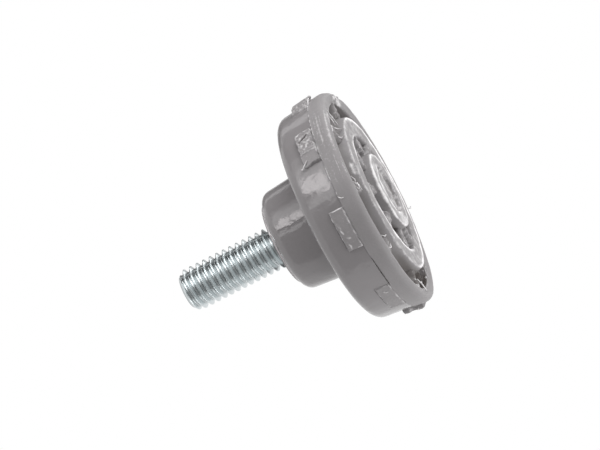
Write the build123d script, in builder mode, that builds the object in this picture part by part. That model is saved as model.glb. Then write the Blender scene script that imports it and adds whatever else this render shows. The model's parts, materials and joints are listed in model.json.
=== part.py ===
"""Levelling glide: a steel screw moulded into a plastic foot with a softer treaded sole.

Millimetres, +Z up. The glide stands on its sole, and the origin is the middle of the sole's face.
"""

import os
from math import radians, tan

from build123d import *

# Screw: a 3/8 inch coarse thread at its rolled crest diameter, with a plain shank and a hex head in the hub.
# The thread is turned as rings one pitch apart, between plain lands at its two ends.
thread_diameter = 9.45
thread_pitch = 25.4 / 16
thread_depth = 0.93
first_land = 0.3
shank_diameter = 8.5
stud_reach = 23.05
tip_chamfer = 1.15
head_across_flats = 14.29
head_height = 5.95

# Base: a drafted flange with a drafted hub on it. Its heights start at the seam with the sole.
seam_height = 6.25
flange_diameter = 48.25
flange_depth = 8.6
shoulder_bevel = 1.5
wall_draft = 5.85
rim_wall = 3.0
crown_thickness = 4.0
hub_diameter = 24.2
hub_length = 10.55
hub_draft = 5.6
hub_edge_bevel = 1.3
hub_root_bevel = 0.6
seat_set_in = 2.35
seat_width = 2.3
seat_height = 0.35

# Sole: an outer rim that stands a little proud of the base, and a plug that fills the cup above it.
# The rim's crest falls away towards the tread.
sole_step = 0.12
rim_edge_bevel = 1.2
rim_set_back = 2.1
rim_fall = 0.6
rim_width = 3.0

# Tread: from the rim inwards, a groove, a wide ring, a groove, and a pad with a shallow dish in it.
groove_depth = 4.4
groove_draft = 6.0
outer_groove_width = 4.15
ring_set_back = 1.2
ring_width = 4.3
ring_flank_draft = 19.0
inner_groove_width = 4.7
pad_width = 3.3
dish_depth = 0.7

# Webs: low radial bridges across the two grooves.
outer_web_set_back = 2.5
inner_web_set_back = 1.4
web_width = 2.6
outer_web_count = 9
inner_web_count = 6

# Lugs: blocks of the sole that come out through notches in the base's rim.
lug_count = 8
lug_phase = 37.0
lug_width = 9.0
lug_height = 3.4
lug_proud = 1.1
lug_corner_bevel = 0.5


def rise(length, draft):
    """Sideways run of a drafted wall of the given height."""
    return length * tan(radians(draft))


def corners(profile, points):
    """The vertices of a profile that lie at the given points."""
    return [profile.vertices().sort_by_distance(point)[0] for point in points]


# Heights of the faces where the pieces meet
flange_top = seam_height + flange_depth
cup_ceiling = flange_top - crown_thickness
hub_end = flange_top + hub_length
seat_top = hub_end + seat_height
head_top = cup_ceiling + head_height
stud_tip = seat_top + stud_reach

# Radii of the drafted walls at those heights
thread_radius = thread_diameter / 2
root_radius = thread_radius - thread_depth
shank_radius = shank_diameter / 2
flange_radius = flange_diameter / 2
shoulder_edge = flange_radius - rise(flange_depth, wall_draft)
hub_radius = hub_diameter / 2
hub_end_radius = hub_radius - rise(hub_length, hub_draft)
cup_radius = flange_radius - rim_wall
seat_radius = hub_end_radius - seat_set_in
sole_radius = flange_radius + sole_step
rim_radius = sole_radius + rise(seam_height - rim_set_back, wall_draft)
lug_radius = flange_radius + lug_proud

# Radii of the tread, from the rim inwards, each at the crest of its wall
rim_inner_radius = rim_radius - rim_width
ring_radius = rim_inner_radius - outer_groove_width
ring_inner_radius = ring_radius - ring_width
pad_radius = ring_inner_radius - inner_groove_width
dish_radius = pad_radius - pad_width

# Radii of the same walls at the groove floors
pad_foot = pad_radius + rise(groove_depth, groove_draft)
ring_inner_foot = ring_inner_radius - rise(groove_depth - ring_set_back, groove_draft)
ring_foot = ring_radius + rise(groove_depth - ring_set_back, ring_flank_draft)
rim_inner_foot = rim_inner_radius - rise(groove_depth - rim_set_back - rim_fall, groove_draft)


# Screw: a hex head, and a shank turned with its thread from one profile
thread_start = seat_top + first_land
ring_count = int((stud_reach - tip_chamfer - first_land) / thread_pitch)
thread_profile = [(thread_radius, thread_start)]
for ring in range(ring_count):
    thread_profile.append((root_radius, thread_start + (ring + 0.5) * thread_pitch))
    thread_profile.append((thread_radius, thread_start + (ring + 1) * thread_pitch))

with BuildPart() as threaded_stud:
    with BuildSketch(Plane.XY.offset(cup_ceiling)):
        RegularPolygon(head_across_flats / 2, 6, major_radius=False)
    extrude(amount=head_height)
    with BuildSketch(Plane.XZ):
        with BuildLine():
            Polyline(
                (0, head_top),
                (shank_radius, head_top),
                (shank_radius, seat_top),
                (thread_radius, seat_top),
                *thread_profile,
                (thread_radius, stud_tip - tip_chamfer),
                (thread_radius - tip_chamfer, stud_tip),
                (0, stud_tip),
                close=True,
            )
        make_face()
    revolve(axis=Axis.Z)


# Base: flange, hub and seat are one turned profile, hollow below for the sole
with BuildPart() as base:
    with BuildSketch(Plane.XZ) as base_profile:
        with BuildLine():
            Polyline(
                (flange_radius, seam_height),
                (shoulder_edge, flange_top),
                (hub_radius, flange_top),
                (hub_end_radius, hub_end),
                (seat_radius, hub_end),
                (seat_radius, seat_top),
                (seat_radius - seat_width, seat_top),
                (seat_radius - seat_width, hub_end),
                (shank_radius, hub_end),
                (shank_radius, cup_ceiling),
                (cup_radius, cup_ceiling),
                (cup_radius, seam_height),
                close=True,
            )
        make_face()
        chamfer(corners(base_profile, [(shoulder_edge, flange_top)]), shoulder_bevel)
        chamfer(corners(base_profile, [(hub_radius, flange_top)]), hub_root_bevel)
        chamfer(corners(base_profile, [(hub_end_radius, hub_end)]), hub_edge_bevel)
    revolve(axis=Axis.Z)
    with BuildSketch(Plane.XY.offset(cup_ceiling)):
        RegularPolygon(head_across_flats / 2, 6, major_radius=False)
    extrude(amount=head_height, mode=Mode.SUBTRACT)
    with BuildSketch(Plane.XY.offset(seam_height)):
        with PolarLocations(0, lug_count, start_angle=lug_phase):
            Rectangle(flange_diameter, lug_width, align=(Align.MIN, Align.CENTER))
    extrude(amount=lug_height, mode=Mode.SUBTRACT)


# Sole: the ring, the tread and the plug are one turned profile, with lugs and webs added
with BuildPart() as sole:
    with BuildSketch(Plane.XZ) as sole_profile:
        with BuildLine():
            Polyline(
                (0, dish_depth),
                (dish_radius, dish_depth),
                (dish_radius, 0),
                (pad_radius, 0),
                (pad_foot, groove_depth),
                (ring_inner_foot, groove_depth),
                (ring_inner_radius, ring_set_back),
                (ring_radius, ring_set_back),
                (ring_foot, groove_depth),
                (rim_inner_foot, groove_depth),
                (rim_inner_radius, rim_set_back + rim_fall),
                (rim_radius, rim_set_back),
                (sole_radius, seam_height),
                (cup_radius, seam_height),
                (cup_radius, cup_ceiling),
                (0, cup_ceiling),
                close=True,
            )
        make_face()
        chamfer(corners(sole_profile, [(rim_radius, rim_set_back)]), rim_edge_bevel)
    revolve(axis=Axis.Z)
    with BuildSketch(Plane.XY.offset(seam_height)) as lug_outline:
        with PolarLocations(0, lug_count, start_angle=lug_phase):
            Rectangle(flange_diameter, lug_width, align=(Align.MIN, Align.CENTER))
        Circle(lug_radius, mode=Mode.INTERSECT)
        chamfer(lug_outline.vertices().group_by(SortBy.DISTANCE)[-1], lug_corner_bevel)
    extrude(amount=lug_height)
    with BuildSketch(Plane.XY.offset(inner_web_set_back)):
        with PolarLocations(0, inner_web_count):
            Rectangle(ring_inner_radius, web_width, align=(Align.MIN, Align.CENTER))
        Circle(pad_radius, mode=Mode.SUBTRACT)
    extrude(amount=groove_depth - inner_web_set_back)
    with BuildSketch(Plane.XY.offset(outer_web_set_back)):
        with PolarLocations(0, outer_web_count):
            Rectangle(rim_inner_radius, web_width, align=(Align.MIN, Align.CENTER))
        Circle(ring_radius, mode=Mode.SUBTRACT)
    extrude(amount=groove_depth - outer_web_set_back)


os.makedirs("parts", exist_ok=True)

threaded_stud.part.label = "threaded_stud"
export_step(threaded_stud.part, "parts/threaded_stud.step")

base.part.label = "base"
export_step(base.part, "parts/base.step")

sole.part.label = "sole"
export_step(sole.part, "parts/sole.step")
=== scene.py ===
"""Dresses the levelling glide: a threaded zinc stud, a glossy hub and flange, and a matte treaded sole."""

import json
from math import atan2, ceil, cos, exp, pi, radians, sin, tan, tau
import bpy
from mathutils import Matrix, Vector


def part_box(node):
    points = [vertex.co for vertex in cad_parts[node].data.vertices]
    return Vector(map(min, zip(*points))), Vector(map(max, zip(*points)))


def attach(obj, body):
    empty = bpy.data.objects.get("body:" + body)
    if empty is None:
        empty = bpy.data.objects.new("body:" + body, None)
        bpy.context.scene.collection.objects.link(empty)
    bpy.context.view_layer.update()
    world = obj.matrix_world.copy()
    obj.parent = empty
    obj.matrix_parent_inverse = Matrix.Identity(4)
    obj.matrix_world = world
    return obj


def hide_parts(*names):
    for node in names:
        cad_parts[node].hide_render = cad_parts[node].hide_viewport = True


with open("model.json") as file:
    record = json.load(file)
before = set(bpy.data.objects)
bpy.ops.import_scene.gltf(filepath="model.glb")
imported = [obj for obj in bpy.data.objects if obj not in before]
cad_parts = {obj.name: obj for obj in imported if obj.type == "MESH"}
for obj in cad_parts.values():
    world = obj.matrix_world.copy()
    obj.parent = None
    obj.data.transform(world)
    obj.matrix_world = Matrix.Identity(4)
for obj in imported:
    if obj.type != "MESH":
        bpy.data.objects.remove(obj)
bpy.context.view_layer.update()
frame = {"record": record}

from types import SimpleNamespace
from typing import NamedTuple

import bmesh
import bpy
from bpy.props import FloatProperty, FloatVectorProperty, IntProperty, PointerProperty
from bpy.types import Operator, Panel, PropertyGroup
from mathutils import Matrix, Vector, noise

bl_info = {
    "name": "Levelling glide",
    "version": (1, 0, 0),
    "blender": (4, 5, 0),
    "location": "3D View > Sidebar > Glide",
    "description": "Models and stages a levelling glide round its construction frame",
    "category": "Object",
}

# Pieces are modelled in millimetres and made metres when they are finished.
MM = 0.001

IMAGE_WIDTH = 600


def mount(name):
    """The record's mount of that name."""
    return next(m for m in frame["record"]["mounts"] if m["name"] == name)


# Heights and radii that the frame gives, in millimetres
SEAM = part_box("base")[0][2] / MM
SEAT_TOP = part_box("base")[1][2] / MM
CUP_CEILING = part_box("sole")[1][2] / MM
STUD_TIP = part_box("threaded_stud")[1][2] / MM
THREAD_RADIUS = mount("stud")["dims"]["r_mm"]

# Rays that meet the white background
SEEN_RAYS = ("Camera", "Glossy", "Transmission")

# How finely the pieces are divided, in steps to a turn or in millimetres
STUD_STEPS = 72
BASE_STEPS = 240
SOLE_STEPS = 480
SECTORS = 8
ARC_STEPS = 5
THREAD_SPACING = 0.35
LATHE_SPACING = 1.2
TREAD_SPACING = 0.36
LUG_SPACING = 0.16
WELD = 0.002

# Pitches below the head's top at which the thread starts
THREAD_LEAD = 1.3


def length(name, description, millimetres):
    """A size that a user can change, given in millimetres and kept in metres."""
    return FloatProperty(
        name=name, description=description, default=millimetres * MM, unit="LENGTH", precision=5
    )


def angle(name, description, degrees):
    """An angle that a user can change, given in degrees."""
    return FloatProperty(name=name, description=description, default=radians(degrees), unit="ROTATION")


def colour(name, description, default):
    """A colour that a user can change."""
    return FloatVectorProperty(
        name=name, description=description, default=default, subtype="COLOR", size=3, min=0, max=1
    )


def sizes(context, part):
    """The values of a part's property group, with its lengths in millimetres."""
    group = getattr(context.scene, "glide_" + part)
    values = {}
    for key in group.__annotations__:
        value = getattr(group, key)
        is_length = group.bl_rna.properties[key].unit == "LENGTH"
        values[key] = value / MM if is_length else value
    return SimpleNamespace(**values)


class StudSizes(PropertyGroup):
    """Sizes of the screw."""

    pitch: length("Pitch", "Rise of the thread in one turn", 1.5875)
    depth: length("Thread depth", "From the crest to the root", 0.93)
    tip_chamfer: length("Tip chamfer", "Bevel at the end of the stud", 1.15)
    head_flats: length("Head across flats", "Hex head inside the hub", 14.29)
    head_height: length("Head height", "Hex head inside the hub", 5.95)
    shank: length("Shank diameter", "Plain shank inside the hub", 8.5)


class BaseSizes(PropertyGroup):
    """Sizes of the hub and flange."""

    flange_radius: length("Flange radius", "At the seam with the sole", 24.125)
    flange_depth: length("Flange depth", "From the seam to the flange's top", 8.6)
    wall_draft: angle("Wall draft", "Lean of the flange's wall", 5.85)
    shoulder_radius: length("Shoulder radius", "Round at the flange's top edge", 2.4)
    rim_wall: length("Rim wall", "Thickness of the flange's wall", 3.0)
    hub_radius: length("Hub radius", "At the flange's top", 12.1)
    hub_draft: angle("Hub draft", "Lean of the hub's wall", 5.6)
    hub_edge_radius: length("Hub edge radius", "Round at the hub's end", 2.1)
    hub_root_radius: length("Hub root radius", "Hollow between hub and flange", 0.6)
    seat_width: length("Seat width", "Width of the raised seat", 2.3)
    seat_height: length("Seat height", "Height of the raised seat", 0.5)


class SoleSizes(PropertyGroup):
    """Sizes of the treaded sole."""

    step: length("Step", "How far the sole stands proud of the base", 0.12)
    rim_set_back: length("Rim set back", "Height of the rim over the floor", 2.0)
    rim_fall: length("Rim fall", "How much deeper the rim is at the groove", 0.7)
    rim_edge_radius: length("Rim edge radius", "Round at the sole's outer edge", 1.1)
    rim_width: length("Rim width", "From the outer edge to the groove", 3.0)
    groove_depth: length("Groove depth", "Floor of both grooves", 4.4)
    groove_draft: angle("Groove draft", "Lean of the groove walls", 6.0)
    outer_groove_width: length("Outer groove", "Between the rim and the ring", 4.15)
    ring_set_back: length("Ring set back", "Height of the ring over the floor", 1.2)
    ring_width: length("Ring width", "Width of the tread ring", 4.3)
    ring_flank_draft: angle("Ring flank draft", "Lean of the ring's outer wall", 19.0)
    inner_groove_width: length("Inner groove", "Between the ring and the pad", 4.7)
    pad_width: length("Pad width", "Width of the middle pad's crest", 3.3)
    dish_depth: length("Dish depth", "Hollow in the middle pad", 0.7)
    edge_radius: length("Tread edge radius", "Round at the tread's crests", 0.55)
    outer_web_height: length("Outer web height", "Height of the outer webs over the floor", 2.5)
    inner_web_height: length("Inner web height", "Height of the inner webs over the floor", 1.3)
    web_width: length("Web width", "Width of the bridges across the grooves", 2.6)
    outer_webs: IntProperty(name="Outer webs", description="Bridges across the outer groove", default=9)
    inner_webs: IntProperty(name="Inner webs", description="Bridges across the inner groove", default=9)
    flash: length("Seam flash", "Reach of the thin fin at the seam", 0.2)


class LugSizes(PropertyGroup):
    """Sizes of the blocks that lock the sole to the base."""

    count: IntProperty(name="Lugs", description="Lugs round the rim", default=8)
    phase: angle("Phase", "Angle of the first lug", 37.0)
    spread: angle("Spread", "Angle that one notch covers", 21.0)
    height: length("Height", "From the seam to the notch's top", 3.4)


class Finishes(PropertyGroup):
    """Colours of the surfaces."""

    base_grey: colour("Base", "Glossy moulded plastic", (0.216, 0.207, 0.21))
    sole_grey: colour("Sole", "Matte moulded tread", (0.235, 0.226, 0.229))
    # Pale colour for worn tread edges and for painted highlights on the crests
    wear_and_highlight_grey: colour("Worn edge", "Frosted edges of the tread", (0.78, 0.77, 0.775))
    # Dark colour for painted shade in grooves, slits and the seam gap, and for dirt in the dish
    dirt_and_shade_grey: colour("Dirt", "Dirt in slits and seams", (0.07, 0.058, 0.051))
    zinc: colour("Zinc", "Plating of the screw", (0.61, 0.65, 0.66))
    floor: colour("Floor", "Pale floor", (0.86, 0.86, 0.86))


class StageSettings(PropertyGroup):
    """Camera and lights."""

    distance: length("Distance", "From the camera to the aim", 790)
    scale: length("Scale", "Width of one image pixel at the aim", 0.2106)
    elevation: angle("Elevation", "Of the camera over the sole's plane", -10.9)
    roll: angle("Roll", "Rise of the sole's axis in the image", 27.03)
    aim_side: length("Aim sideways", "Aim point across the axis", 1.9)
    aim_height: length("Aim height", "Aim point along the axis", 20.5)
    key: FloatProperty(name="Key", description="Brightness of the main lamp", default=4.0)
    fill: FloatProperty(name="Fill", description="Brightness of the surroundings", default=1.0)


SETTINGS = {
    "glide_stud": StudSizes,
    "glide_base": BaseSizes,
    "glide_sole": SoleSizes,
    "glide_lugs": LugSizes,
    "glide_finish": Finishes,
    "glide_stage": StageSettings,
}


class LugForm(NamedTuple):
    """One lug as it came out of the mould, in degrees off its even place and millimetres."""

    shift: float = 0.0
    half: float = 10.5
    low: float = 0.0
    high: float = 3.5
    proud: float = 1.0
    ease: float = 0.3
    rough: float = 0.08
    ragged: float = 0.1
    lip: float = 0.0
    torn: tuple = (0, 0)
    terraces: tuple = ()
    slits: tuple = ()
    ridges: tuple = ()


# Lugs in turn from the first one. Lines on them run through (along the rim, up from the seam) points.
LUG_FORMS = (
    LugForm(torn=(1.0, 3.6)),
    LugForm(rough=0.14, ridges=(((3.0, 2.6), (1.0, 2.2), (-2.0, 2.9)),)),
    LugForm(proud=0.8, torn=(-4.0, -1.0), terraces=((-2.4, 0.6),)),
    LugForm(
        low=-1.6, high=2.9, proud=0.95, ease=0.2, rough=0.12, ragged=0.2,
        torn=(0.5, 4.4), terraces=((-3.4, 0.5),),
    ),
    LugForm(
        shift=-3.0, half=11.2, high=3.35, proud=0.28, rough=0.05, ragged=0.12, lip=0.05,
        ridges=(((3.0, 1.9), (2.5, 1.6), (2.6, 1.2)),),
    ),
    LugForm(
        shift=0.4, half=10.9, high=3.35, proud=0.6, ease=0.14, rough=0.06, ragged=0.14, lip=0.05,
        ridges=(
            ((4.4, 1.5), (4.4, 3.0), (3.6, 3.25), (2.4, 3.2)),
            ((1.6, 2.8), (0.8, 2.5), (0.1, 2.7), (-0.7, 2.4)),
            ((-1.4, 2.3), (-1.9, 1.9), (-1.8, 1.5)),
            ((-3.0, 2.5), (-3.4, 2.2), (-3.9, 2.35)),
        ),
    ),
    LugForm(
        shift=2.3, half=10.2, high=4.0, proud=0.85, ease=0.12, rough=0.05, ragged=0.22, lip=0.08,
        torn=(-1.1, 3.4), terraces=((-1.3, 0.85),),
        slits=(((2.9, 1.3), (2.4, 2.3), (1.9, 3.2)),),
        ridges=(((3.8, 3.0), (3.6, 3.7), (3.0, 3.8)), ((-1.3, 0.3), (-1.2, 2.0), (-1.4, 3.7))),
    ),
    LugForm(
        half=10.0, high=3.9, proud=1.05, ease=0.16, rough=0.1, ragged=0.16,
        torn=(-4.0, -1.4), terraces=((-2.5, 0.75), (-3.3, 0.4)),
    ),
)


# Threads of flash: a thickness, then (degrees round the axis, radius, height) points that it runs through
STRANDS = (
    (0.11, (330, 23.6, 2.2), (331.5, 22.3, 2.3), (333.3, 21, 2.3), (338.5, 18.1, 2.4)),
    (0.1, (326.5, 23.2, 2.25), (330, 21, 2.4), (333, 19.2, 2.6)),
    (0.11, (323.4, 20.6, 2.4), (327, 19.2, 2.2), (331.9, 17.7, 1.8)),
    (0.12, (318, 19.6, 2.4), (319.5, 18.6, 2.2), (322.4, 17.6, 2.1), (321, 18.3, 1.9)),
    (
        0.11, (286.5, 21.4, 2.5), (284.6, 20.4, 2.2), (283, 19.9, 2.45), (281.4, 19.2, 2.15),
        (278.1, 17.8, 2.2),
    ),
    (0.1, (283.2, 21.6, 2.5), (281.5, 20.8, 2.25), (282.4, 20, 2.1), (279.5, 19, 2.3)),
    (0.1, (279.4, 21.3, 2.4), (278.6, 20.3, 2.2), (276.6, 19.3, 2.3)),
    (0.11, (250, 21.9, 2.4), (247, 20.6, 2.1), (245.8, 19.3, 2.1)),
    (0.1, (241, 21.8, 2.4), (239, 20.8, 2.2), (239.5, 19.6, 2.2)),
    (
        0.13, (197.8, 20.2, 2.4), (194, 20.7, 2.35), (192.5, 20.9, 2.3), (191.3, 22.2, 2.1),
        (190.8, 23, 2.05),
    ),
    (0.11, (186.1, 20.2, 2.4), (190, 20.6, 2.4), (192.5, 20.9, 2.3)),
    (0.12, (103.6, 23.4, 2.3), (104, 23.5, 1.6), (103.2, 23.4, 1.35)),
    (0.2, (352.5, 25.05, 5.9), (349, 24.55, 6.2), (344.5, 24.25, 6.2)),
    (0.08, (278.6, 24.3, 6.3), (277.7, 24.45, 6), (277, 24.5, 5.7), (276.8, 24.5, 5.2)),
    (0.13, (302, 24.6, 9.1), (299.6, 24.7, 10), (298.8, 24.3, 10.7), (299.6, 23.9, 11.1)),
    (0.11, (45, 21.2, 2.4), (41, 20, 2.2), (38, 18.6, 2)),
    (0.11, (158, 21.4, 2.5), (161, 20, 2.3), (160, 18.6, 2.1)),
)

# Round blobs of flash as (degrees round the axis, radius, height, blob's radius)
BLOBS = (
    (352.5, 25.05, 5.75, 0.42),
    (8, 23, 2.2, 0.24),
    (15, 22.2, 2.45, 0.18),
    (320.5, 18.2, 2.2, 0.2),
    (204, 20.8, 2.4, 0.24),
    (186, 25.1, 5.7, 0.22),
    (166, 25, 5.5, 0.3),
)

# Places round the sole as (middle, half) in degrees: where the tread has worn more or less white,
GREY_RING_EDGE = (288, 20)
WORN_PAD = (185, 16)
SCUFFED_GROOVE = (294, 3)
STREAKED_RIM = (308, 14)
GRAINY_RIM = (310, 16)
# where the mould or the wear has changed its shape,
LOW_WEB = (168, 10)
CHIPPED_RIM = (12, 7)
SUNK_RIM = (68, 28)
NARROW_RIM = (352, 16)
RAGGED_SEAM = (320, 28)
OPEN_SEAM = (234, 6)
# and where the painted shade in the grooves lies deepest
OUTER_POCKET = (169, 10)
OUTER_GROOVE_SHADE = (203, 14)
INNER_GROOVE_SHADE = (205, 18)

# Soft oval lamps: name, direction and distance from the aim, size in metres, share of the key, tint
LAMPS = (
    ("key", (0.59, -0.74, 0.32), 0.5, (0.17, 0.13), 1.1, (1, 0.95, 0.955)),
    ("halo", (0.66, -0.68, 0.32), 0.51, (0.38, 0.3), 0.3, (1, 1, 1)),
    ("strip", (0.32, -0.9, 0.3), 0.5, (0.04, 0.36), 0.5, (1, 1, 1)),
    ("over", (0.85, -0.2, -0.5), 0.5, (0.35, 0.35), 1.15, (1, 1, 1)),
    ("below", (-0.75, -0.15, -0.55), 0.6, (0.5, 0.5), 0.58, (1, 1, 1)),
    ("sole", (0.4, 0.8, -0.55), 0.5, (0.35, 0.35), 0.48, (1, 1, 1)),
)

# Dark cards: name, direction and distance from the aim, size in metres, shade
FLAGS = (
    ("front_flag", (-0.35, -1, 0), 0.45, (0.75, 0.6), 0.34),
    ("top_flag", (0.94, 0.13, 0.31), 0.45, (0.34, 0.4), 0.05),
    ("far_flag", (0.58, 0.8, 0.15), 0.45, (0.2, 0.5), 0.06),
    ("rear_flag", (0.2, 0.97, 0.1), 0.46, (0.25, 0.5), 0.5),
    ("line_flag", (0.41, -0.85, 0.325), 0.074, (0.009, 0.026), 0.0),
    ("back_flag", (0.22, 0.72, -0.65), 0.4, (0.2, 0.2), 0.06),
)


class Value:
    """A shader socket that takes part in Python expressions."""

    def __init__(self, tree, socket):
        self.tree = tree
        self.socket = socket

    def math(self, operation, first, second):
        return node(self.tree, "ShaderNodeMath", {"operation": operation}, {0: first, 1: second})

    def __add__(self, other):
        return self.math("ADD", self, other)

    def __sub__(self, other):
        return self.math("SUBTRACT", self, other)

    def __rsub__(self, other):
        return self.math("SUBTRACT", other, self)

    def __mul__(self, other):
        return self.math("MULTIPLY", self, other)

    __radd__ = __add__
    __rmul__ = __mul__


def node(tree, kind, settings=None, inputs=None, output=0):
    """Adds a node, sets it up, links or fills its sockets and returns one of its outputs."""
    made = tree.nodes.new(kind)
    for key, value in (settings or {}).items():
        if key == "stops":
            for element, (place, shade) in zip(made.color_ramp.elements, value):
                element.position = place
                element.color = (shade, shade, shade, 1)
        else:
            setattr(made, key, value)
    for key, value in (inputs or {}).items():
        if isinstance(value, Value):
            tree.links.new(value.socket, made.inputs[key])
        else:
            made.inputs[key].default_value = value
    return Value(tree, made.outputs[output]) if made.outputs else None


def object_place(tree):
    """The object's own coordinates, in metres."""
    return node(tree, "ShaderNodeTexCoord", output="Object")


def object_noise(tree, scale, detail=2.0, roughness=0.5):
    """Noise on object coordinates, with about that many lumps to the metre."""
    sockets = {"Vector": object_place(tree), "Scale": scale, "Detail": detail, "Roughness": roughness}
    return node(tree, "ShaderNodeTexNoise", inputs=sockets)


def ramp(tree, value, low, high):
    """A value stretched so that low becomes 0 and high becomes 1."""
    return node(tree, "ShaderNodeValToRGB", {"stops": ((low, 0), (high, 1))}, {0: value})


def band(tree, low, high):
    """1 between two heights of the object in millimetres, 0 elsewhere."""
    height = node(tree, "ShaderNodeSeparateXYZ", inputs={0: object_place(tree)}, output="Z") * (1 / MM)
    return ramp(tree, height - low, 0, 0.02) * (1 - ramp(tree, height - high, 0, 0.02))


def blend(tree, amount, first, second):
    """A colour between two others."""
    return node(tree, "ShaderNodeMix", {"data_type": "RGBA"}, {0: amount, 6: first, 7: second}, output=2)


def attribute(tree, name):
    """A number that the mesh carries on its points."""
    return node(tree, "ShaderNodeAttribute", {"attribute_name": name}, output="Fac")


def tinted(shade, factor=1.0):
    """A colour made lighter or darker, with its alpha."""
    return tuple(min(1, c * factor) for c in shade) + (1,)


def varied(tree, amount, shade, dark, light):
    """A colour that an amount takes from darker to lighter."""
    return blend(tree, amount, tinted(shade, dark), tinted(shade, light))


def bump(tree, height, distance, strength):
    """A bump normal from a height value, with its reach in millimetres."""
    sockets = {"Height": height, "Distance": distance * MM, "Strength": strength}
    return node(tree, "ShaderNodeBump", inputs=sockets)


def new_material(name, surface):
    """A material whose surface shader a function makes in its node tree."""
    material = bpy.data.materials.new(name)
    material.use_nodes = True
    tree = material.node_tree
    tree.nodes.clear()
    node(tree, "ShaderNodeOutputMaterial", inputs={"Surface": surface(tree)})
    return material


def zinc_material(finish, root):
    """Bright zinc plate with faint cloudiness and fine rolling marks, darker in the thread's root."""

    def surface(tree):
        across = {0: object_place(tree), 1: (1 / MM, 1 / MM, 0)}
        level = node(tree, "ShaderNodeVectorMath", {"operation": "MULTIPLY"}, across)
        radius = node(tree, "ShaderNodeVectorMath", {"operation": "LENGTH"}, {0: level}, output="Value")
        # Painted shade: the plate is darkened towards the thread's root.
        root_shade = 1 - ramp(tree, radius - root, 0.04, 0.3)
        cloud = object_noise(tree, 260, 3)
        grain = object_noise(tree, 5200, 2)
        cut = band(tree, STUD_TIP - 0.03, STUD_TIP + 0.1)
        plate = varied(tree, cloud, finish.zinc, 0.92, 1.16)
        plate_with_root_shade = blend(tree, root_shade * 0.45, plate, tinted(finish.zinc, 0.42))
        sockets = {
            "Base Color": blend(tree, cut, plate_with_root_shade, tinted(finish.zinc, 0.7)),
            "Metallic": 1.0,
            "Roughness": 0.23 + cloud * 0.1 + cut * 0.25,
            "Normal": bump(tree, grain, 0.004, 0.22),
        }
        return node(tree, "ShaderNodeBsdfPrincipled", inputs=sockets)

    return new_material("bright_zinc", surface)


def base_material(finish, flange_top, hub_end):
    """Glossy moulded plastic with a slightly wavy skin and faint scuffs, duller on its level faces."""

    def surface(tree):
        cloud = object_noise(tree, 90, 3)
        scuff = ramp(tree, object_noise(tree, 900, 6, 0.7), 0.55, 0.75)
        wave = object_noise(tree, 230, 3.5, 0.55)
        # Painted highlight: a narrow band round the side of the raised seat is painted much paler.
        seat = band(tree, hub_end + 0.04, hub_end + 0.34)
        levels = (flange_top, SEAT_TOP, hub_end)
        dull = sum(band(tree, level - 0.03, level + 0.01) for level in levels)
        grey = varied(tree, cloud, finish.base_grey, 0.94, 1.06)
        sockets = {
            "Base Color": blend(tree, seat, grey, tinted(finish.base_grey, 2.6)),
            "Roughness": 0.13 + scuff * 0.08 + dull * 0.4,
            "IOR": 1.52,
            "Normal": bump(tree, wave, 0.5, 0.45),
        }
        return node(tree, "ShaderNodeBsdfPrincipled", inputs=sockets)

    return new_material("glossy_grey_plastic", surface)


def sole_material(finish):
    """Matte moulded tread with a grainy skin, frosted worn edges and dirt in its slits."""

    def surface(tree):
        cloud = object_noise(tree, 240, 4)
        grain = object_noise(tree, 3200, 3, 0.6)
        speckle = object_noise(tree, 1900, 5, 0.7)
        mottle = cloud * 0.6 + grain * 0.7 - 0.15
        grey = varied(tree, mottle, finish.sole_grey, 0.84, 1.16)
        # Worn whitening and painted highlights both lift the tread towards the pale colour.
        frost_and_highlight = ramp(tree, attribute(tree, "worn") * 0.9 + speckle * 0.9 - 0.42, 0.16, 0.8)
        frosted_and_highlit = blend(tree, frost_and_highlight, grey, tinted(finish.wear_and_highlight_grey))
        sockets = {
            # The dark colour paints shade in the grooves, slits and seam gap, and dirt in the middle dish.
            "Base Color": blend(tree, attribute(tree, "dirt"), frosted_and_highlit, tinted(finish.dirt_and_shade_grey)),
            "Roughness": 0.42 + grain * 0.2,
            "IOR": 1.48,
            "Normal": bump(tree, grain, 0.04, 0.5),
        }
        return node(tree, "ShaderNodeBsdfPrincipled", inputs=sockets)

    return new_material("matte_grey_tread", surface)


def outline(bm, corners, spacing, whole=None):
    """A half section's outline from (radius, height, rounding) corners, without the axis itself.

    Corners are rounded by a bevel and edges divided to the spacing, apart from those at the whole height.
    """
    verts = [bm.verts.new((radius, 0, height)) for radius, height, _ in corners]
    bm.faces.new(verts)
    for vert, (_, _, rounding) in zip(verts, corners):
        if rounding:
            slide = rounding / tan(vert.link_loops[0].calc_angle() / 2)
            bmesh.ops.bevel(
                bm, geom=[vert], offset=slide, affect="VERTICES", segments=ARC_STEPS,
                profile=0.5, material=-1,
            )
    bmesh.ops.delete(bm, geom=bm.faces[:], context="FACES_ONLY")
    for edge in bm.edges[:]:
        if all(v.co.x < WELD for v in edge.verts):
            bm.edges.remove(edge)
        elif whole is None or any(abs(v.co.z - whole) > WELD for v in edge.verts):
            cuts = ceil(edge.calc_length() / spacing) - 1
            if cuts:
                bmesh.ops.subdivide_edges(bm, edges=[edge], cuts=cuts)


def only(kind, items):
    """The items of one kind among those that a bmesh operator made."""
    return [item for item in items if isinstance(item, kind)]


def spin(bm, geom, turn, steps, rise=0):
    """Sweeps geometry round the Z axis, with a rise at each step."""
    bmesh.ops.spin(
        bm, geom=geom, cent=(0, 0, 0), axis=(0, 0, 1), dvec=(0, 0, rise), angle=turn, steps=steps
    )


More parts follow.
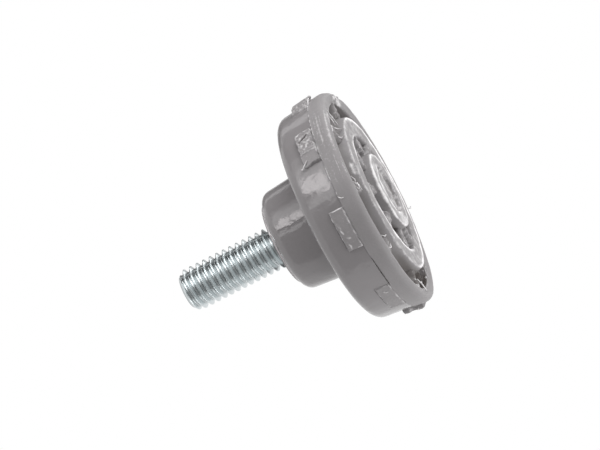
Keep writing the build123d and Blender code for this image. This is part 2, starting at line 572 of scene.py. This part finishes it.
def copies(bm, transforms):
    """Adds a copy of all that is in a bmesh for each transform, and welds them."""
    first = bm.verts[:] + bm.edges[:] + bm.faces[:]
    for transform in transforms:
        made = bmesh.ops.duplicate(bm, geom=first)["geom"]
        bmesh.ops.transform(bm, matrix=transform, verts=only(bmesh.types.BMVert, made))
    bmesh.ops.remove_doubles(bm, verts=bm.verts, dist=WELD)


def lathe(bm, steps):
    """Turns the outline in a bmesh round the Z axis into a closed skin, one sector and its copies."""
    spin(bm, bm.verts[:] + bm.edges[:], tau / SECTORS, steps // SECTORS)
    copies(bm, [Matrix.Rotation(tau * k / SECTORS, 4, "Z") for k in range(1, SECTORS)])
    bmesh.ops.recalc_face_normals(bm, faces=bm.faces)


def polar(point):
    """Radius and angle of a point about the Z axis."""
    return point.xy.length, atan2(point.y, point.x)


def set_polar(vert, radius, turn, height):
    """Moves a vertex to a radius, angle and height."""
    vert.co = (radius * cos(turn), radius * sin(turn), height)


def turn_between(first, second):
    """Signed angle from the second direction to the first, within half a turn."""
    return (first - second + pi) % tau - pi


def unit(value):
    """A value kept between 0 and 1."""
    return min(1, max(0, value))


def smooth_step(low, high, value):
    """0 below low, 1 above high, and a smooth rise between."""
    share = unit((value - low) / (high - low))
    return share * share * (3 - 2 * share)


def hump(distance, width):
    """1 at no distance, falling off smoothly over the width."""
    return exp(-((distance / width) ** 2))


def lumps(point, size, seed):
    """Repeatable noise from -1 to 1, with lumps of about that size."""
    return noise.noise(point / size + Vector((seed * 7.3, seed * 3.1, seed * 1.7)))


def line_distance(point, line):
    """Distance from a flat point to the nearest part of a line through points."""
    distances = []
    for start, end in zip(line, line[1:]):
        start = Vector(start)
        run = Vector(end) - start
        share = unit((point - start).dot(run) / run.length_squared)
        distances.append((point - start - run * share).length)
    return min(distances)


def new_object(bm, name, material):
    """Adds an object made from a bmesh in metres to the scene."""
    mesh = bpy.data.meshes.new(name)
    bm.to_mesh(mesh)
    bm.free()
    mesh.materials.append(material)
    made = bpy.data.objects.new(name, mesh)
    bpy.context.scene.collection.objects.link(made)
    return made


def add_piece(bm, name, material, nodes=(), sharp=35.0):
    """Makes a finished object from a bmesh, shaded smooth up to an angle, and ties it to the frame."""
    bmesh.ops.recalc_face_normals(bm, faces=bm.faces)
    bmesh.ops.scale(bm, vec=(MM, MM, MM), verts=bm.verts)
    for face in bm.faces:
        face.smooth = True
    for edge in bm.edges:
        edge.smooth = edge.calc_face_angle(pi) < radians(sharp)
    piece = new_object(bm, name, material)
    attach(piece, "root")
    if nodes:
        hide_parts(*nodes)


def thread_corners(stud):
    """One pitch of the thread as a closed half section, from root to root."""
    root = THREAD_RADIUS - stud.depth
    root_flat = 0.11 * stud.pitch
    crest_flat = 0.465 * stud.pitch
    return [
        (root - 1, 0, 0),
        (root, 0, 0),
        (root, root_flat, 0.12),
        (THREAD_RADIUS, crest_flat, 0.03),
        (THREAD_RADIUS, stud.pitch - crest_flat, 0.03),
        (root, stud.pitch - root_flat, 0.12),
        (root, stud.pitch, 0),
        (root - 1, stud.pitch, 0),
    ]


class GLIDE_OT_stud(Operator):
    """Screw with a rolled thread, a bevelled tip and the hex head that the hub hides"""

    bl_idname = "glide.stud"
    bl_label = "Threaded stud"

    def execute(self, context):
        stud = sizes(context, "stud")
        head_top = CUP_CEILING + stud.head_height
        turns = ceil((STUD_TIP - head_top) / stud.pitch) + 2
        bm = bmesh.new()
        outline(bm, thread_corners(stud), THREAD_SPACING)
        inner = [v for v in bm.verts if v.co.x < THREAD_RADIUS - stud.depth - 0.1]
        bmesh.ops.delete(bm, geom=inner, context="VERTS")
        bmesh.ops.translate(bm, vec=(0, 0, head_top - THREAD_LEAD * stud.pitch), verts=bm.verts)
        spin(bm, bm.verts[:] + bm.edges[:], tau, STUD_STEPS, rise=stud.pitch / STUD_STEPS)
        copies(bm, [Matrix.Translation((0, 0, stud.pitch * k)) for k in range(1, turns)])
        for vert in bm.verts:
            radius, turn = polar(vert.co)
            limit = THREAD_RADIUS - stud.tip_chamfer + max(0, STUD_TIP - vert.co.z)
            in_hub = vert.co.z < SEAT_TOP - stud.depth
            set_polar(vert, stud.shank / 2 if in_hub else min(radius, limit), turn, vert.co.z)
        for height, upward in ((head_top, -1), (STUD_TIP, 1)):
            cut = bmesh.ops.bisect_plane(
                bm, geom=bm.verts[:] + bm.edges[:] + bm.faces[:], plane_co=(0, 0, height),
                plane_no=(0, 0, upward), clear_outer=True,
            )
            bmesh.ops.edgeloop_fill(bm, edges=only(bmesh.types.BMEdge, cut["geom_cut"]))
        corner = stud.head_flats / 2 / cos(pi / 6)
        bmesh.ops.create_cone(
            bm, cap_ends=True, segments=6, radius1=corner, radius2=corner, depth=stud.head_height,
            matrix=Matrix.Translation((0, 0, CUP_CEILING + stud.head_height / 2)),
        )
        material = zinc_material(context.scene.glide_finish, THREAD_RADIUS - stud.depth)
        add_piece(bm, "stud", material, ["threaded_stud"], sharp=50)
        return {"FINISHED"}


def base_corners(base, lugs, bore):
    """The base's half section as (radius, height, rounding) corners, all the way round."""
    flange_top = SEAM + base.flange_depth
    hub_end = SEAT_TOP - base.seat_height
    lug_top = SEAM + lugs.height
    lean = tan(base.wall_draft)
    hub_end_radius = base.hub_radius - (hub_end - flange_top) * tan(base.hub_draft)
    seat = hub_end_radius - base.hub_edge_radius
    cup = base.flange_radius - base.rim_wall
    tiny = 0.08
    return [
        (base.flange_radius, SEAM, tiny),
        (base.flange_radius - (lug_top - SEAM) * lean, lug_top, 0),
        (base.flange_radius - base.flange_depth * lean, flange_top, base.shoulder_radius),
        (base.hub_radius, flange_top, base.hub_root_radius),
        (hub_end_radius, hub_end, base.hub_edge_radius),
        (seat, hub_end, tiny),
        (seat, SEAT_TOP, tiny),
        (seat - base.seat_width, SEAT_TOP, tiny),
        (seat - base.seat_width, hub_end, tiny),
        (bore, hub_end, tiny),
        (bore, CUP_CEILING, 0),
        (cup, CUP_CEILING, 0),
        (cup, lug_top, 0),
        (cup, SEAM, 0),
    ]


def lug_turn(lugs, k):
    """Angle of a lug's middle, as moulded."""
    return lugs.phase + tau * k / lugs.count + radians(LUG_FORMS[k % len(LUG_FORMS)].shift)


def cut_notches(bm, base, lugs):
    """Opens the rim's wall behind each lug, and closes the sides of each notch."""
    lug_top = SEAM + lugs.height
    inside = base.flange_radius - base.rim_wall - 0.1
    for k in range(lugs.count):
        form = LUG_FORMS[k % len(LUG_FORMS)]
        middle = lugs.phase + tau * k / lugs.count
        wall = []
        for face in bm.faces:
            centre = face.calc_center_median()
            radius, turn = polar(centre)
            in_notch = abs(turn_between(turn, middle)) < lugs.spread / 2
            in_lug = abs(turn_between(turn, lug_turn(lugs, k))) < radians(form.half - 1)
            if in_notch and in_lug and centre.z < lug_top and radius > inside:
                wall.append(face)
        bmesh.ops.delete(bm, geom=wall, context="FACES")
        rim = [e for e in bm.edges if e.is_boundary and max(v.co.z for v in e.verts) > SEAM + WELD]
        bmesh.ops.bridge_loops(bm, edges=rim)


class GLIDE_OT_base(Operator):
    """Hub and flange, turned as one piece, with notches in the rim for the sole's lugs"""

    bl_idname = "glide.base"
    bl_label = "Base"

    def execute(self, context):
        base = sizes(context, "base")
        lugs = sizes(context, "lugs")
        stud = sizes(context, "stud")
        bm = bmesh.new()
        outline(bm, base_corners(base, lugs, stud.shank / 2), LATHE_SPACING, whole=SEAM)
        lathe(bm, BASE_STEPS)
        start = Matrix.Rotation(lugs.phase - lugs.spread / 2, 3, "Z")
        bmesh.ops.rotate(bm, verts=bm.verts, cent=(0, 0, 0), matrix=start)
        cut_notches(bm, base, lugs)
        levels = (SEAM + base.flange_depth, SEAT_TOP - base.seat_height)
        material = base_material(context.scene.glide_finish, *levels)
        add_piece(bm, "hub_and_flange", material, ["base"])
        return {"FINISHED"}


class Tread:
    """Radii of the sole's rim, rings and grooves, worked out from its sizes."""

    def __init__(self, sole, base):
        drop = tan(base.wall_draft)
        lean = tan(sole.groove_draft)
        self.edge = base.flange_radius + sole.step
        self.rim = self.edge + (SEAM - sole.rim_set_back) * drop
        self.rim_inner = self.rim - sole.rim_width
        self.ring = self.rim_inner - sole.outer_groove_width
        self.ring_inner = self.ring - sole.ring_width
        self.pad = self.ring_inner - sole.inner_groove_width
        self.dish = self.pad - sole.pad_width
        self.rim_level = sole.rim_set_back + sole.rim_fall
        self.rim_foot = self.rim_inner - (sole.groove_depth - self.rim_level) * lean
        flank = (sole.groove_depth - sole.ring_set_back) * tan(sole.ring_flank_draft)
        self.ring_foot = self.ring + flank
        self.ring_inner_foot = self.ring_inner - (sole.groove_depth - sole.ring_set_back) * lean
        self.pad_foot = self.pad + sole.groove_depth * lean
        self.cup = base.flange_radius - base.rim_wall
        # Radius and height of each crest, whether its flank looks outwards, and how white it is painted on
        # the near and on the far side, by wear and by a painted highlight where light catches it
        self.crests = [
            (self.dish, 0, False, 0.8, 0.3),
            (self.pad, 0, True, 1.2, 0.8),
            (self.ring_inner, sole.ring_set_back, False, 1.3, 0.1),
            (self.ring, sole.ring_set_back, True, 0.4, 1.6),
            (self.rim_inner, self.rim_level, False, 0.5, 0.2),
        ]


def sole_corners(sole, tread):
    """The sole's half section from the middle of the tread to the middle of the plug's top."""
    edge = sole.edge_radius
    floor = sole.groove_depth
    hollow = 0.3
    return [
        (0, sole.dish_depth, 0),
        (tread.dish - 0.2, sole.dish_depth, 0.2),
        (tread.dish, 0, edge * 0.7),
        (tread.pad, 0, edge),
        (tread.pad_foot, floor, hollow),
        (tread.ring_inner_foot, floor, hollow),
        (tread.ring_inner, sole.ring_set_back, edge),
        (tread.ring, sole.ring_set_back, edge),
        (tread.ring_foot, floor, hollow),
        (tread.rim_foot, floor, hollow),
        (tread.rim_inner, tread.rim_level, 0.5),
        (tread.rim - 0.5, sole.rim_set_back, sole.rim_edge_radius),
        (tread.rim - 0.15, sole.rim_set_back + 1.6, 2.0),
        (tread.edge, SEAM - 0.2, 0),
        (tread.edge, SEAM - 0.05, 0),
        (tread.edge - 0.06, SEAM, 0),
        (tread.cup, SEAM, 0),
        (tread.cup, CUP_CEILING, 0),
        (0, CUP_CEILING, 0),
    ]


def web_height(sole, point, count, top, seed):
    """Height of the nearest web's top over the floor at a point of a groove, or None between webs."""
    radius, turn = polar(point)
    nearest = round(turn / tau * count) * tau / count
    aside = abs(radius * sin(turn - nearest))
    half = sole.web_width / 2
    if aside > half * 1.6:
        return None
    rough = 0.3 * lumps(point, 0.7, seed) + 0.25 * lumps(point, 1.9, seed + 1)
    fall = smooth_step(half * 0.6, half * 1.6, aside + 0.4 * lumps(point, 1.2, seed + 2))
    return top + rough + fall * (sole.groove_depth - top)


def window(turn, place):
    """1 within a (middle, half) place in degrees, falling to 0 at twice as far from its middle."""
    middle, half = place
    return 1 - smooth_step(radians(half), radians(2 * half), abs(turn_between(turn, radians(middle))))


def frost_and_highlight(tread, point):
    """How white a place on the tread has worn, from 0 to 1."""
    radius, turn = polar(point)
    flat = Vector((point.x, point.y, 0))
    near_side = 1 - smooth_step(-0.4, 0.3, sin(turn))
    patch = lumps(flat, 2.2, 13) + 0.7 * lumps(flat, 0.8, 14)
    mark = 0
    # Crest edges are whitened by wear and by a painted highlight, unevenly on the near and the far side of
    # the sole as light falls there.
    for crest, level, outwards, near_white, far_white in tread.crests:
        narrow = 0.65 - 0.4 * sin(turn) * (1 if outwards else -1)
        distance = Vector(((radius - crest) * narrow, (point.z - level) * (3 - 2 * narrow))).length
        white = far_white + (near_white - far_white) * near_side
        if crest == tread.ring_inner:
            white *= 1 - 0.6 * window(turn, GREY_RING_EDGE)
        spread = 0.42 + 0.22 * lumps(flat, 2.4, 15)
        mark = max(mark, white * hump(distance, spread) * (1 + 0.6 * lumps(point, 1.4, 11)))
    # Flat tops are whitened by wear in patches; the ring's flat is whiter towards 0° and 180° round the
    # axis, and the pad's flat carries a painted highlight on its near side.
    if tread.ring_inner < radius < tread.ring and point.z < 1.8:
        mark = max(mark, 0.02 + 0.2 * cos(turn) ** 2 + 0.22 * patch)
    elif tread.dish < radius < tread.pad and point.z < 0.5:
        mark = max(mark, 0.12 + 0.12 * near_side + 0.3 * window(turn, WORN_PAD) + 0.3 * patch)
    elif radius < tread.dish:
        mark = max(mark, 0.22 + 0.5 * patch)
    elif tread.ring < radius < tread.rim_inner and point.z < 3:
        mark = max(mark, window(turn, SCUFFED_GROOVE) * hump(point.z - 2.2, 0.35) * (0.7 + 0.5 * patch))
    elif radius > tread.rim_inner:
        along = Vector((turn * radius / 14, radius * 4.5, point.z * 4.5))
        streak = smooth_step(0.12, 0.5, lumps(along, 1, 61))
        streaks = streak * (0.04 + 0.26 * window(turn, STREAKED_RIM))
        mark = max(mark, 0.08 * window(turn, GRAINY_RIM) + streaks)
    return mark


def sculpt_sole(bm, sole, tread):
    """Raises the webs, roughens the crests and seam, and notes worn and dirty places."""
    worn = bm.verts.layers.float.new("worn")
    dirt = bm.verts.layers.float.new("dirt")
    for vert in bm.verts:
        point = vert.co.copy()
        radius, turn = polar(point)
        height = point.z
        flat = Vector((point.x, point.y, 0))
        if height > SEAM + 0.1:
            continue
        web = None
        if tread.pad < radius < tread.ring_inner:
            web = web_height(sole, flat, sole.inner_webs, sole.inner_web_height, 3)
        elif tread.ring < radius < tread.rim_inner + 0.2:
            top = sole.outer_web_height + 1.2 * window(turn, LOW_WEB)
            web = web_height(sole, flat, sole.outer_webs, top, 5)
        mark = frost_and_highlight(tread, point)
        if web is not None and web < height:
            height = web
            mark = max(mark, 0.1 + 0.6 * lumps(flat, 0.6, 7))
        if point.z < sole.groove_depth and radius < tread.rim:
            ease = 1 - smooth_step(1.6, 3.4, point.z)
            height += 0.06 * ease * (lumps(flat, 2.6, 17) + 0.7 * lumps(flat, 0.9, 18))
            radius += ease * (0.12 * lumps(flat, 3.4, 19) + 0.05 * lumps(flat, 1.1, 20))
            radius += 0.5 * hump(point.xy.length - tread.dish, 1.2) * lumps(flat, 2.0, 21)
        if radius > tread.rim_inner:
            crest = 1 - smooth_step(2.0, 4.5, point.z)
            chip = crest * window(turn, CHIPPED_RIM)
            height += 0.4 * chip * lumps(flat, 0.8, 24) - 0.22 * crest * window(turn, SUNK_RIM)
            radius -= 0.4 * crest * window(turn, NARROW_RIM)
            mark = max(mark, chip * (0.2 + 0.9 * lumps(flat, 0.7, 25)))
        if abs(point.z - SEAM) < 0.1 and radius > tread.edge - 0.08:
            upper = window(turn, RAGGED_SEAM)
            fin = 0.4 + 0.9 * lumps(flat, 3.0, 23) + 0.6 * lumps(flat, 0.9, 29)
            radius += sole.flash * (0.4 + upper) * max(0, fin)
            mark = max(mark, (0.15 + 0.85 * upper) * unit(fin + 0.5 * lumps(flat, 0.5, 30)))
            gap = window(turn, OPEN_SEAM)
            height -= gap * (0.22 + 0.08 * lumps(flat, 1.2, 41))
            # Painted shade in the open seam gap between the sole and the base.
            vert[dirt] = gap * 0.8
        # Dirt in blotches over the middle dish.
        if radius < tread.dish:
            vert[dirt] = 0.5 * max(0, 0.05 + lumps(flat, 1.6, 22))
        # Painted shade in the grooves: darker with depth, most of all at the pockets.
        elif radius < tread.rim_inner:
            if radius > tread.ring:
                pocket = max(window(turn, OUTER_POCKET), 0.6 * window(turn, OUTER_GROOVE_SHADE))
            else:
                pocket = 0.75 * window(turn, INNER_GROOVE_SHADE)
            vert[dirt] = smooth_step(1.7 - 0.6 * pocket, 3.2 - pocket, height) * (0.35 + 0.6 * pocket)
        vert[worn] = unit(mark)
        set_polar(vert, radius, turn, height)


class GLIDE_OT_sole(Operator):
    """Sole with its rim, tread rings, grooves and webs, and the plug that fills the base's cup"""

    bl_idname = "glide.sole"
    bl_label = "Sole"

    def execute(self, context):
        sole = sizes(context, "sole")
        tread = Tread(sole, sizes(context, "base"))
        bm = bmesh.new()
        outline(bm, sole_corners(sole, tread), TREAD_SPACING, whole=CUP_CEILING)
        lathe(bm, SOLE_STEPS)
        sculpt_sole(bm, sole, tread)
        material = sole_material(context.scene.glide_finish)
        add_piece(bm, "sole_tread", material, ["sole"], sharp=60)
        return {"FINISHED"}


def wall_radius(base, sole, height):
    """Radius of the foot's outer wall at a height, on the base or below it on the sole."""
    lean = (SEAM - height) * tan(base.wall_draft)
    return base.flange_radius + lean + (sole.step if height < SEAM else 0)


def lug_lift(form, place, point):
    """How far a lug stands out at a place on it, and how worn and dirty it is there."""
    half = radians(form.half) * point.xy.length
    edge = min(half - abs(place.x), place.y - form.low, form.high - place.y)
    edge -= form.ragged * (0.4 + 0.9 * lumps(point, 0.9, 67) + 0.6 * lumps(point, 0.35, 71))
    wobble = place.x + 0.2 * lumps(point, 1.1, 43)
    share = 1.0
    for limit, level in form.terraces:
        share += (level - share) * (1 - smooth_step(limit - 0.1, limit + 0.1, wobble))
    lift = form.proud * share * smooth_step(-0.06, form.ease, edge)
    inside = smooth_step(0, 0.4, edge)
    tear = inside * smooth_step(form.torn[0] - 0.1, form.torn[0] + 0.2, wobble)
    tear *= 1 - smooth_step(form.torn[1] - 0.2, form.torn[1] + 0.1, wobble)
    lift += form.rough * inside * (lumps(point, 1.5, 31) + 0.5 * lumps(point, 0.5, 37))
    lift += 0.14 * tear * (lumps(point, 0.45, 73) + lumps(point, 0.9, 79))
    lift += form.lip * hump(edge - 0.2, 0.2)
    worn = 0.05 + 0.7 * hump(edge - 0.12, 0.16) * max(0, 0.15 + 1.2 * lumps(point, 1.6, 47))
    worn = max(worn, tear * (0.16 + 0.55 * lumps(point, 0.5, 83)))
    dirt = 0.0
    place = place + 0.12 * Vector((lumps(point, 0.8, 53), lumps(point, 0.8, 59)))
    # Slits are cut in and painted dark as shade.
    for line in form.slits:
        depth = hump(line_distance(place, line), 0.14)
        lift -= 0.5 * depth
        dirt = max(dirt, depth)
    for line in form.ridges:
        crest = hump(line_distance(place, line), 0.17)
        lift += 0.13 * crest
        worn = max(worn, crest * (0.4 + 0.5 * lumps(point, 0.9, 87)))
    return max(0, lift), unit(worn), unit(dirt)


class GLIDE_OT_lugs(Operator):
    """Lugs of the sole that come out through the notches in the base's rim"""

    bl_idname = "glide.lugs"
    bl_label = "Lugs"

    def execute(self, context):
        lugs = sizes(context, "lugs")
        base = sizes(context, "base")
        sole = sizes(context, "sole")
        bm = bmesh.new()
        worn = bm.verts.layers.float.new("worn")
        dirt = bm.verts.layers.float.new("dirt")
        inner = base.flange_radius - base.rim_wall
        outer = base.flange_radius
        for k in range(lugs.count):
            form = LUG_FORMS[k % len(LUG_FORMS)]
            middle = lug_turn(lugs, k)
            half = radians(form.half)
            corners = [(inner, form.low), (outer, form.low), (outer, form.high), (inner, form.high)]
            start = Matrix.Rotation(middle - half, 3, "Z")
            verts = [bm.verts.new(start @ Vector((radius, 0, SEAM + rise))) for radius, rise in corners]
            face = bm.faces.new(verts)
            front = bm.edges.get(verts[1:3])
            bmesh.ops.subdivide_edges(bm, edges=[front], cuts=ceil(front.calc_length() / LUG_SPACING))
            steps = ceil(2 * half * outer / LUG_SPACING)
            spin(bm, face.verts[:] + face.edges[:] + [face], 2 * half, steps)
            for vert in bm.verts:
                radius, turn = polar(vert.co)
                aside = turn_between(turn, middle)
                if radius < outer - WELD or abs(aside) > half + 0.001:
                    continue
                place = Vector((aside * outer, vert.co.z - SEAM))
                lift, vert[worn], vert[dirt] = lug_lift(form, place, vert.co.copy())
                set_polar(vert, wall_radius(base, sole, vert.co.z) + lift - 0.02, turn, vert.co.z)
        add_piece(bm, "sole_lugs", bpy.data.materials["matte_grey_tread"], sharp=60)
        return {"FINISHED"}


def at(turn, radius, height):
    """The point at an angle in degrees, a radius and a height."""
    return Vector((radius * cos(radians(turn)), radius * sin(radians(turn)), height))


def add_strand(bm, points, thickness):
    """A thin thread through points, thinner towards its ends and closed there."""
    last = len(points) - 1
    frames = []
    for k, point in enumerate(points):
        run = points[min(k + 1, last)] - points[max(k - 1, 0)]
        turn = run.to_track_quat("Z", "Y").to_matrix().to_4x4()
        width = thickness * (0.7 if k in (0, last) else 1.15)
        frames.append(Matrix.Translation(point) @ turn @ Matrix.Scale(width, 4))
    made = bmesh.ops.create_circle(bm, cap_ends=True, segments=8, radius=1, matrix=frames[0])["verts"]
    ring = list({edge for vert in made for edge in vert.link_edges})
    for before, after in zip(frames, frames[1:]):
        made = bmesh.ops.extrude_edge_only(bm, edges=ring)["geom"]
        ring = only(bmesh.types.BMEdge, made)
        verts = only(bmesh.types.BMVert, made)
        bmesh.ops.transform(bm, matrix=after @ before.inverted(), verts=verts)
    bmesh.ops.edgeloop_fill(bm, edges=ring)


def web_blobs(sole, tread):
    """Blobs along the tops of the webs in both grooves."""
    inner = (sole.inner_webs, tread.pad + 0.6, tread.ring_inner - 0.6, sole.inner_web_height + 0.2)
    outer = (sole.outer_webs, tread.ring + 0.9, tread.rim_inner - 0.5, sole.outer_web_height + 0.2)
    for count, start, end, height in (inner, outer):
        for k in range(count):
            turn = 360 * k / count
            for share in (0.1, 0.45, 0.9):
                point = at(turn, start + (end - start) * share, height)
                aside = 2.2 * lumps(point, 0.7, 89)
                size = 0.15 + 0.12 * lumps(point, 0.5, 97)
                yield point + Matrix.Rotation(radians(90 + turn), 3, "Z") @ Vector((aside, 0, 0)), size


class GLIDE_OT_flash(Operator):
    """Threads and blobs of sole material that the mould left in the grooves and along the seam"""

    bl_idname = "glide.flash"
    bl_label = "Flash"

    def execute(self, context):
        sole = sizes(context, "sole")
        tread = Tread(sole, sizes(context, "base"))
        bm = bmesh.new()
        for thickness, *points in STRANDS:
            add_strand(bm, [at(*point) for point in points], thickness)
        blobs = [(at(turn, radius, height), size) for turn, radius, height, size in BLOBS]
        for place, size in blobs + list(web_blobs(sole, tread)):
            bmesh.ops.create_icosphere(bm, subdivisions=2, radius=size, matrix=Matrix.Translation(place))
        bmesh.ops.recalc_face_normals(bm, faces=bm.faces)
        worn = bm.verts.layers.float.new("worn")
        bm.verts.layers.float.new("dirt")
        for vert in bm.verts:
            point = vert.co.copy()
            vert.co += vert.normal * 0.08 * lumps(point, 0.5, 101)
            vert[worn] = unit(0.6 + 0.6 * lumps(point, 0.8, 103))
        add_piece(bm, "sole_flash", bpy.data.materials["matte_grey_tread"], sharp=60)
        return {"FINISHED"}


def camera_axes(stage):
    """The camera's right, up and backward directions."""
    back = Vector((0, -cos(stage.elevation), sin(stage.elevation)))
    axis = Vector((0, 0, -1))
    along = (axis - axis.dot(back) * back).normalized()
    across = back.cross(along)
    right = cos(stage.roll) * along - sin(stage.roll) * across
    up = sin(stage.roll) * along + cos(stage.roll) * across
    return right, up, back


def add_lamp(name, aim, direction, distance, size, brightness, tint):
    """A soft oval lamp of an even brightness that faces the aim from a direction."""
    data = bpy.data.lights.new(name, "AREA")
    data.color = tint
    data.shape = "ELLIPSE"
    data.size, data.size_y = size
    data.energy = brightness * pi * size[0] * size[1] * pi / 4
    lamp = bpy.data.objects.new(name, data)
    lamp.location = aim + direction.normalized() * distance
    lamp.rotation_euler = direction.to_track_quat("Z", "Y").to_euler()
    bpy.context.scene.collection.objects.link(lamp)


def floor_material(finish):
    """Pale floor that is seen from above only, fades out at its edge and leaves light alone."""

    def surface(tree):
        seen = node(tree, "ShaderNodeLightPath", output="Is Camera Ray")
        underside = node(tree, "ShaderNodeNewGeometry", output="Backfacing")
        inputs = {0: object_place(tree)}
        reach = node(tree, "ShaderNodeVectorMath", {"operation": "LENGTH"}, inputs, output="Value")
        shade = varied(tree, object_noise(tree, 400, 2), finish.floor, 0.99, 1.01)
        paint = node(tree, "ShaderNodeBsdfDiffuse", inputs={"Color": shade})
        clear = node(tree, "ShaderNodeBsdfTransparent")
        solid = seen * (1 - underside) * (1 - ramp(tree, reach, 0.12, 0.45))
        return node(tree, "ShaderNodeMixShader", inputs={0: solid, 1: clear, 2: paint})

    return new_material("pale_floor", surface)


def studio_world(stage, back):
    """White to the camera and in reflections; as light, pale all round and dim above and at the camera."""
    world = bpy.data.worlds.new("studio")
    world.use_nodes = True
    tree = world.node_tree
    tree.nodes.clear()
    seen = sum(node(tree, "ShaderNodeLightPath", output="Is %s Ray" % kind) for kind in SEEN_RAYS)
    direction = node(tree, "ShaderNodeTexCoord", output="Generated")
    dot = {"operation": "DOT_PRODUCT"}
    facing = node(tree, "ShaderNodeVectorMath", dot, {0: direction, 1: back}, "Value")
    dim = ramp(tree, facing * 0.5 + 0.5, 0.5, 0.85)
    upward = node(tree, "ShaderNodeSeparateXYZ", inputs={0: direction}, output="Z")
    strength = stage.fill * (1 - dim * 0.51) * (1 - upward * 0.16)
    pale = node(tree, "ShaderNodeBackground", inputs={"Color": (1, 0.985, 0.99, 1), "Strength": strength})
    white = node(tree, "ShaderNodeBackground", inputs={"Color": (1, 1, 1, 1), "Strength": 1.0})
    both = node(tree, "ShaderNodeMixShader", inputs={0: seen, 1: pale, 2: white})
    node(tree, "ShaderNodeOutputWorld", inputs={"Surface": both})
    return world


def add_flag(name, aim, direction, distance, size, shade):
    """A dark card that shows only in reflections, facing the aim from a direction."""
    bm = bmesh.new()
    bmesh.ops.create_grid(bm, x_segments=1, y_segments=1, size=0.5)
    turn = direction.to_track_quat("Z", "Y").to_matrix().to_4x4()
    place = Matrix.Translation(aim + direction.normalized() * distance) @ turn
    bmesh.ops.transform(bm, matrix=place @ Matrix.Diagonal((*size, 1, 1)), verts=bm.verts)

    def surface(tree):
        cloth = varied(tree, object_noise(tree, 900, 3), (shade,) * 3, 0.9, 1.1)
        return node(tree, "ShaderNodeEmission", inputs={"Color": cloth, "Strength": 1.0})

    flag = new_object(bm, name, new_material(name + "_cloth", surface))
    flag.visible_camera = False
    flag.visible_diffuse = False
    flag.visible_shadow = False


class GLIDE_OT_stage(Operator):
    """Camera, soft lamps, dark cards, pale floor and white background"""

    bl_idname = "glide.stage"
    bl_label = "Stage"

    def execute(self, context):
        scene = context.scene
        stage = scene.glide_stage
        right, up, back = camera_axes(stage)
        aim = Vector((stage.aim_side, 0, stage.aim_height))

        data = bpy.data.cameras.new("camera")
        data.lens = data.sensor_width * stage.distance / (stage.scale * IMAGE_WIDTH)
        camera = bpy.data.objects.new("camera", data)
        turn = Matrix((right, up, back)).transposed().to_4x4()
        camera.matrix_world = Matrix.Translation(aim + back * stage.distance) @ turn
        scene.collection.objects.link(camera)
        scene.camera = camera

        for name, direction, distance, size, share, tint in LAMPS:
            add_lamp(name, aim, Vector(direction), distance, size, stage.key * share, tint)
        for name, direction, distance, size, shade in FLAGS:
            add_flag(name, aim, Vector(direction), distance, size, shade)

        bm = bmesh.new()
        bmesh.ops.create_circle(bm, cap_ends=True, segments=96, radius=0.5)
        floor = new_object(bm, "floor", floor_material(scene.glide_finish))

        scene.world = studio_world(stage, back)
        scene.view_settings.view_transform = "Standard"
        return {"FINISHED"}


OPERATORS = (GLIDE_OT_stud, GLIDE_OT_base, GLIDE_OT_sole, GLIDE_OT_lugs, GLIDE_OT_flash, GLIDE_OT_stage)


class GLIDE_PT_panel(Panel):
    """Sizes and steps of the glide"""

    bl_label = "Glide"
    bl_space_type = "VIEW_3D"
    bl_region_type = "UI"
    bl_category = "Glide"

    def draw(self, context):
        for operator in OPERATORS:
            self.layout.operator(operator.bl_idname)
        for name, group in SETTINGS.items():
            column = self.layout.column(heading=group.__doc__)
            for key in group.__annotations__:
                column.prop(getattr(context.scene, name), key)


def register():
    for group in SETTINGS.values():
        bpy.utils.register_class(group)
    for name, group in SETTINGS.items():
        setattr(bpy.types.Scene, name, PointerProperty(type=group))
    for operator in OPERATORS:
        bpy.utils.register_class(operator)
    bpy.utils.register_class(GLIDE_PT_panel)


def unregister():
    bpy.utils.unregister_class(GLIDE_PT_panel)
    for operator in reversed(OPERATORS):
        bpy.utils.unregister_class(operator)
    for name, group in reversed(SETTINGS.items()):
        delattr(bpy.types.Scene, name)
        bpy.utils.unregister_class(group)


def main():
    register()
    bpy.ops.glide.stud()
    bpy.ops.glide.base()
    bpy.ops.glide.sole()
    bpy.ops.glide.lugs()
    bpy.ops.glide.flash()
    bpy.ops.glide.stage()


if __name__ == "__main__":
    main()
